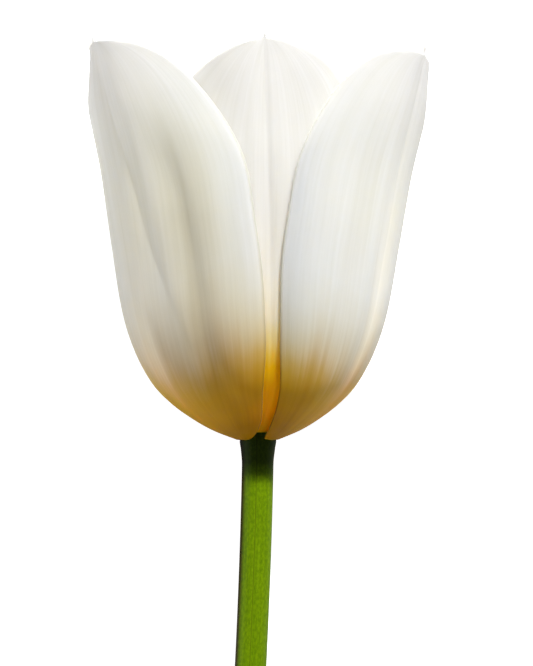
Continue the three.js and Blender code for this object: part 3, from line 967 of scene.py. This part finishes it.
def pistil_material():
    material, tree, shader = new_material("Tulip pistil, moist green ovary and hairy stigma")
    coords = add(tree, "ShaderNodeTexCoord")
    along = add(tree, "ShaderNodeSeparateXYZ", {0: coords.outputs["UV"]}).outputs["Y"]
    mottle = add(tree, "ShaderNodeTexNoise", {0: coords.outputs["Object"], "Scale": 700, "Detail": 3})
    shaken = add(
        tree, "ShaderNodeMath",
        {0: mottle.outputs["Fac"], 1: 0.06, 2: along},
        operation="MULTIPLY_ADD",
    )
    colour = add(
        tree, "ShaderNodeValToRGB", {0: shaken.outputs[0]},
        stops=[
            (0.0, "#c9c77a"), (0.2, "#a9bb62"), (0.6, "#b7c674"), (0.68, "#dcdc9e"), (0.74, "#efe5b0"),
        ],
    )
    hairs = add(tree, "ShaderNodeTexVoronoi", {0: coords.outputs["Object"], "Scale": 1 / STIGMA_HAIRS})
    on_stigma = add(tree, "ShaderNodeMapRange", {0: along, 1: 0.66, 2: 0.74})
    height = add(
        tree, "ShaderNodeMath", {0: hairs.outputs["Distance"], 1: on_stigma.outputs[0]}, operation="MULTIPLY"
    )
    bumps = add(
        tree, "ShaderNodeBump",
        {"Height": height.outputs[0], "Strength": 0.9, "Distance": STIGMA_HAIRS},
    )
    finish_shader(
        tree, shader, colour.outputs[0], bumps.outputs[0],
        Roughness=0.35, IOR=1.4, Subsurface_Weight=0.4, Subsurface_Radius=(0.8, 1.0, 0.4),
        Subsurface_Scale=0.001,
    )
    return material


thread_finish = thread_material()
pollen_finish = pollen_material()
for filament, anther in zip(filaments, anthers):
    filament.data.materials.append(thread_finish)
    anther.data.materials.append(pollen_finish)
pistil.data.materials.append(pistil_material())
print("materials made:", len(bpy.data.materials))

# %% [markdown]
# ## A white table that glows
#
# White petals show their shape best on a pure white ground, as on a light table. The floor is therefore a
# matt white sheet, wide enough to fill every view, with some light of its own. Only the eye sees that light:
# if it lit the flower from below, it would wash out the shade that makes the cup look round.

# %% The floor
FLOOR_HALF = 2.5
FLOOR_GLOW = 0.92  # seen by the eye alone: it gives the flower no light


def make_floor():
    mesh = bpy.data.meshes.new("table")
    corners = [(-1, -1), (1, -1), (1, 1), (-1, 1)]
    mesh.from_pydata([(x * FLOOR_HALF, y * FLOOR_HALF, 0) for x, y in corners], [], [(0, 1, 2, 3)])
    floor = bpy.data.objects.new("table", mesh)
    bpy.context.collection.objects.link(floor)
    material, tree, shader = new_material("Light table, matt white sheet")
    shader.inputs["Base Color"].default_value = linear("#cccccc")
    shader.inputs["Roughness"].default_value = 0.9
    shader.inputs["Emission Color"].default_value = linear("#ffffff")
    seen = add(tree, "ShaderNodeLightPath").outputs["Is Camera Ray"]
    glow = add(tree, "ShaderNodeMath", {0: seen, 1: FLOOR_GLOW}, operation="MULTIPLY")
    tree.links.new(glow.outputs[0], shader.inputs["Emission Strength"])
    mesh.materials.append(material)


make_floor()

# %% [markdown]
# ## Light from the mouth of the flower
#
# The main lamp shines from above the mouth, in front and a little to the right. It lights the petals' upper
# parts, leaves the underside of the cup in its own shade and throws the cup's shadow on the top of the stem.
# A second lamp looks straight down into the mouth, so the inside glows yellow through the slit. Two large
# weak softboxes open up the flanks. The sky is pale to look at but gives only a dim, even fill.

# %% Lamps and sky
KEY = {"from_axis": 41.5, "turn": 20, "distance": 1.2, "size": 0.1, "watts": 16.3}
MOUTH_LAMP = {"from_axis": 2, "turn": 0, "distance": 0.9, "size": 0.2, "watts": 7}
LEFT_BOX = {"from_axis": 95, "turn": -80, "distance": 0.9, "size": 0.5, "watts": 1.9}
RIGHT_BOX = {"from_axis": 60, "turn": 75, "distance": 0.9, "size": 0.5, "watts": 0.6}
FILL_LIGHT = 0.28


def make_lamp(name, from_axis, turn, distance, size, watts):
    """A round soft lamp that points at the flower, placed by its angles to the axis and the front."""
    tilt = math.radians(from_axis)
    swing = math.radians(turn)
    forwards = math.cos(swing) * FRONT + math.sin(swing) * RIGHT
    direction = math.cos(tilt) * UP + math.sin(tilt) * forwards
    lamp = bpy.data.lights.new(name, "AREA")
    lamp.shape = "DISK"
    lamp.size = size
    lamp.energy = watts
    holder = bpy.data.objects.new(name, lamp)
    holder.location = BASE * MM + direction * distance
    holder.rotation_euler = Vector(direction).to_track_quat("Z", "Y").to_euler()
    holder.visible_camera = False
    bpy.context.collection.objects.link(holder)
    return holder


key = make_lamp("key", **KEY)
make_lamp("mouth lamp", **MOUTH_LAMP)
make_lamp("left softbox", **LEFT_BOX)
make_lamp("right softbox", **RIGHT_BOX)

world = bpy.data.worlds.new("sky")
world.use_nodes = True
world.node_tree.nodes.clear()
seen = add(world.node_tree, "ShaderNodeLightPath").outputs["Is Camera Ray"]
strength = add(world.node_tree, "ShaderNodeMapRange", {0: seen, 3: FILL_LIGHT, 4: 1.0})
sky = add(world.node_tree, "ShaderNodeBackground", {"Strength": strength.outputs[0]})
sky.inputs["Color"].default_value = linear("#ffffff")
add(world.node_tree, "ShaderNodeOutputWorld", {"Surface": sky.outputs[0]})
bpy.context.scene.world = world
bpy.context.scene.view_settings.view_transform = "Standard"
print("lamp stands", [round(x, 2) for x in key.location], "m from the origin")

# %% [markdown]
# ## The camera
#
# It looks straight at the front of the flower, which lies face up, so it hangs over the table and is tipped
# by the same few degrees as the flower's axis. A long lens from half a metre keeps the petals' proportions.
# The stem runs out of the bottom of the view.

# %% The camera
CAMERA_DISTANCE = 0.5
AIM_RIGHT = 0.00153  # the view's centre, from the cup's base
AIM_UP = 0.01872
VIEW_HEIGHT = 0.11988  # how much of the flower's axis the view takes in

camera_data = bpy.data.cameras.new("camera")
camera_data.lens = camera_data.sensor_width * CAMERA_DISTANCE / VIEW_HEIGHT
camera = bpy.data.objects.new("camera", camera_data)
camera.location = BASE * MM + AIM_RIGHT * RIGHT + AIM_UP * UP + CAMERA_DISTANCE * FRONT
camera.rotation_euler = (Vector(-FRONT)).to_track_quat("-Z", "Y").to_euler()
bpy.context.collection.objects.link(camera)
bpy.context.scene.camera = camera
print(f"lens {camera_data.lens:.1f} mm")
